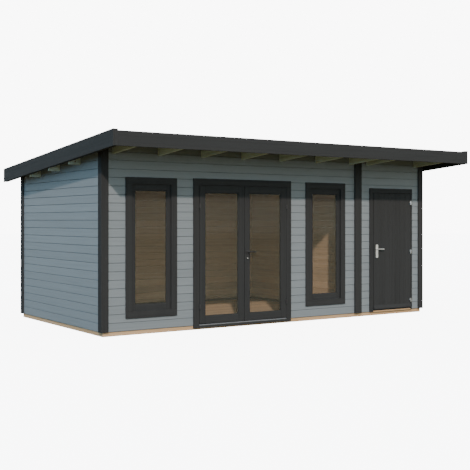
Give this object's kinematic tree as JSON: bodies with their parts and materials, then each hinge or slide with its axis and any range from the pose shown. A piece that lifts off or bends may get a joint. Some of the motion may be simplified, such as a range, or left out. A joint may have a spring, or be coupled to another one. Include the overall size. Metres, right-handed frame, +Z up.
{
  "type": "log garden shed with glazed room and side store",
  "caption": "Pent-roofed garden shed of interlocking painted logs, with a glazed room, side store, hinged doors, tall windows and a deep front overhang.",
  "frame": {"origin": "on the ground at the middle of the roof outline", "axes": "+X along the front towards the store, +Y from the front to the back, +Z up"},
  "size_m": [6.356, 3.972, 2.6711],
  "materials": {
    "log_paint": "opaque blue-grey wood paint over sawn spruce logs",
    "trim_paint": "opaque anthracite wood paint",
    "raw_wood": "planed spruce, untreated",
    "floor_wood": "spruce boards and logs, untreated inside",
    "skirting_paint": "dark painted skirting",
    "glass": "clear double glazing",
    "aluminium": "natural anodised threshold",
    "dark_metal": "dark powder-coated fittings",
    "steel": "brushed stainless steel",
    "felt": "mineral-surfaced bitumen felt"
  },
  "bodies": {
    "house": {"foundation_bearers": "raw_wood", "foundation_joists": "raw_wood", "room_floor": "floor_wood", "store_floor": "floor_wood", "left_wall": "log_paint", "right_wall": "log_paint", "back_wall": "log_paint", "partition_wall": "floor_wood", "front_wall_piers": "log_paint", "front_wall_under_windows": "log_paint", "front_wall_over_openings": "log_paint", "front_wall_top": "log_paint", "corner_covers": "trim_paint", "partition_covers": "trim_paint", "window_frames": "trim_paint", "window_sashes": "trim_paint", "window_panes": "glass", "doors_frame": "trim_paint", "doors_threshold": "aluminium", "doors_frame_hinges": "dark_metal", "store_door_frame": "trim_paint", "store_door_threshold": "raw_wood", "store_frame_hinges": "steel", "skirting": "skirting_paint", "rafters": "raw_wood", "lookouts": "raw_wood", "roof_boards": "raw_wood", "roofing_felt": "felt", "front_fascia": "trim_paint", "back_fascia": "trim_paint", "side_fascias": "trim_paint"},
    "left_leaf": {"left_door_leaf": "trim_paint", "left_door_pane": "glass", "left_door_hinges": "dark_metal"},
    "right_leaf": {"right_door_leaf": "trim_paint", "right_door_pane": "glass", "right_door_hinges": "dark_metal", "door_lock": "steel"},
    "room_lever": {"door_lever": "dark_metal"},
    "store_leaf": {"store_door_leaf": "trim_paint", "store_door_drip_bar": "trim_paint", "store_door_hinges": "steel", "store_door_lock": "steel"},
    "store_lever": {"store_door_lever": "steel"}
  },
  "joints": [
    {"name": "left_leaf_swing", "type": "hinge", "parent": "house", "child": "left_leaf", "pos_m": [-1.4535, -1.209, 1.06], "axis": [0, 0, -1], "range_deg": [0, 105]},
    {"name": "right_leaf_swing", "type": "hinge", "parent": "house", "child": "right_leaf", "pos_m": [0.0755, -1.209, 1.06], "axis": [0, 0, 1], "range_deg": [0, 105]},
    {"name": "store_leaf_swing", "type": "hinge", "parent": "house", "child": "store_leaf", "pos_m": [2.6715, -1.209, 1.06], "axis": [0, 0, 1], "range_deg": [0, 105]},
    {"name": "room_lever_turn", "type": "hinge", "parent": "right_leaf", "child": "room_lever", "pos_m": [-0.6365, -1.199, 1.083], "axis": [0, 1, 0], "range_deg": [0, 40], "stiffness_Nm_per_rad": 2.5, "springref_deg": -17.19},
    {"name": "store_lever_turn", "type": "hinge", "parent": "store_leaf", "child": "store_lever", "pos_m": [1.912, -1.199, 1.076], "axis": [0, 1, 0], "range_deg": [0, 40], "stiffness_Nm_per_rad": 2.5, "springref_deg": -17.19}
  ]
}
